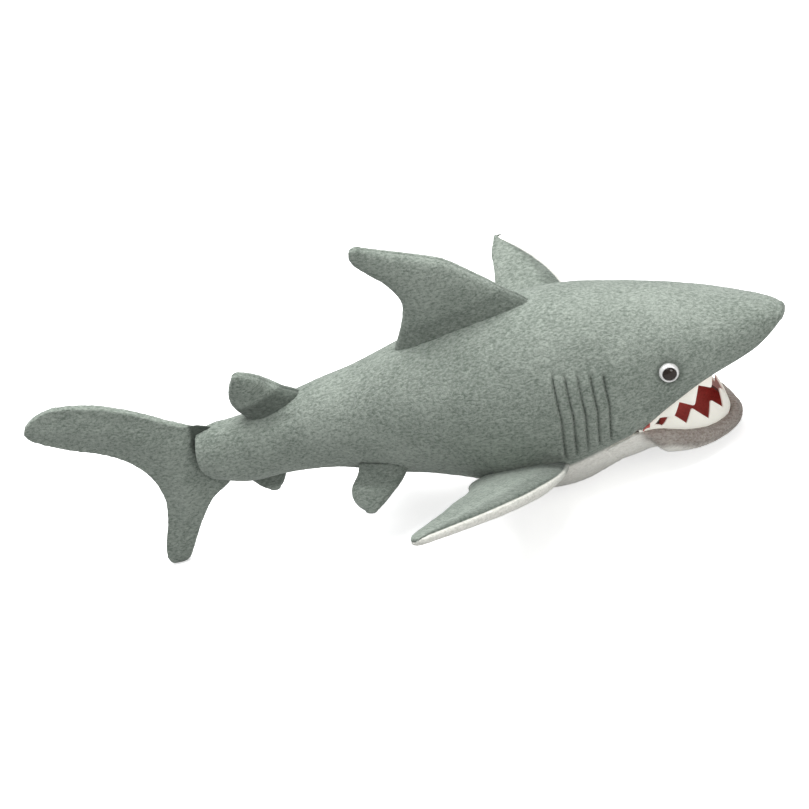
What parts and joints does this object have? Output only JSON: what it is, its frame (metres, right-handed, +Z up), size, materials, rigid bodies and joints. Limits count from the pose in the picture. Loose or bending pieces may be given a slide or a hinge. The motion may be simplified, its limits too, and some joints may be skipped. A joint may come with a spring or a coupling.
{
  "type": "plush shark",
  "caption": "Stuffed plush shark with an open felt-toothed mouth, safety eyes, floppy stuffed fins, a soft jaw and a bending tail",
  "frame": {"origin": "On the floor under the middle of the bounding box", "axes": "+X runs forward to the nose, +Y to the shark's left, +Z up"},
  "size_m": [0.6791, 0.4232, 0.2669],
  "materials": {
    "grey_plush": "short pile plush",
    "pale_plush": "short pile plush",
    "lip_plush": "short pile plush",
    "red_cloth": "smooth brushed cloth",
    "white_felt": "felt",
    "filling": "loose polyester fibre",
    "eye_disc": "gloss",
    "eye_pupil": "gloss",
    "washer": "moulded"
  },
  "bodies": {
    "trunk": {"side_skin_right": "grey_plush", "side_skin_left": "grey_plush", "belly_panel": "pale_plush", "trunk_filling": "filling", "snout_filling": "filling", "palate_lining": "red_cloth", "snout_underside": "pale_plush", "upper_teeth": "white_felt", "eye_disc_right": "eye_disc", "eye_pupil_right": "eye_pupil", "eye_washer_right": "washer", "eye_disc_left": "eye_disc", "eye_pupil_left": "eye_pupil", "eye_washer_left": "washer"},
    "lower_jaw": {"jaw_skin": "lip_plush", "jaw_filling": "filling", "jaw_lining": "red_cloth", "lower_teeth": "white_felt"},
    "tail_stock": {"tail_stock_skin_right": "grey_plush", "tail_stock_skin_left": "grey_plush", "tail_stock_filling": "filling", "anal_fin_right": "grey_plush", "anal_fin_left": "grey_plush", "anal_fin_filling": "filling"},
    "tail_fin": {"tail_fin_left": "grey_plush", "tail_fin_right": "grey_plush", "tail_fin_filling": "filling"},
    "dorsal_fin": {"dorsal_fin_left": "grey_plush", "dorsal_fin_right": "grey_plush", "dorsal_fin_filling": "filling"},
    "second_dorsal_fin": {"second_dorsal_left": "grey_plush", "second_dorsal_right": "grey_plush", "second_dorsal_filling": "filling"},
    "pectoral_right": {"pectoral_right_top": "grey_plush", "pectoral_right_underside": "pale_plush", "pectoral_right_filling": "filling"},
    "pelvic_right": {"pelvic_right_outer": "grey_plush", "pelvic_right_inner": "grey_plush", "pelvic_right_filling": "filling"},
    "pectoral_left": {"pectoral_left_top": "grey_plush", "pectoral_left_underside": "pale_plush", "pectoral_left_filling": "filling"},
    "pelvic_left": {"pelvic_left_outer": "grey_plush", "pelvic_left_inner": "grey_plush", "pelvic_left_filling": "filling"}
  },
  "joints": [
    {"name": "jaw_hinge", "type": "hinge", "parent": "trunk", "child": "lower_jaw", "pos_m": [0.1936, 0, 0.054], "axis": [0, -1, 0], "range_deg": [-3, 24], "stiffness_Nm_per_rad": 0.4},
    {"name": "tail_bend", "type": "hinge", "parent": "trunk", "child": "tail_stock", "pos_m": [-0.0634, 0, 0.1], "axis": [0, 0, 1], "range_deg": [-25, 25], "stiffness_Nm_per_rad": 0.8},
    {"name": "tail_fin_swing", "type": "hinge", "parent": "tail_stock", "child": "tail_fin", "pos_m": [-0.2044, 0, 0.1], "axis": [0, 0, 1], "range_deg": [-30, 30], "stiffness_Nm_per_rad": 0.3},
    {"name": "dorsal_flop", "type": "hinge", "parent": "trunk", "child": "dorsal_fin", "pos_m": [0.0636, 0, 0.1824], "axis": [0.9893, 0, 0.1461], "range_deg": [-20, 20], "stiffness_Nm_per_rad": 0.1},
    {"name": "second_dorsal_flop", "type": "hinge", "parent": "tail_stock", "child": "second_dorsal_fin", "pos_m": [-0.1234, 0, 0.1444], "axis": [0.9774, 0, 0.2113], "range_deg": [-25, 25], "stiffness_Nm_per_rad": 0.006},
    {"name": "pectoral_right_flap", "type": "hinge", "parent": "trunk", "child": "pectoral_right", "pos_m": [0.0786, -0.072, 0.048], "axis": [-0.9887, 0.1442, -0.0419], "range_deg": [-35, 30], "stiffness_Nm_per_rad": 0.25},
    {"name": "pectoral_left_flap", "type": "hinge", "parent": "trunk", "child": "pectoral_left", "pos_m": [0.0786, 0.072, 0.048], "axis": [0.9887, 0.1442, 0.0419], "range_deg": [-35, 30], "stiffness_Nm_per_rad": 0.25},
    {"name": "pelvic_right_flap", "type": "hinge", "parent": "trunk", "child": "pelvic_right", "pos_m": [-0.0394, -0.0425, 0.0585], "axis": [-0.9752, 0.1371, 0.1737], "range_deg": [-20, 20], "stiffness_Nm_per_rad": 0.006},
    {"name": "pelvic_left_flap", "type": "hinge", "parent": "trunk", "child": "pelvic_left", "pos_m": [-0.0394, 0.0425, 0.0585], "axis": [0.9752, 0.1371, -0.1737], "range_deg": [-20, 20], "stiffness_Nm_per_rad": 0.006}
  ]
}
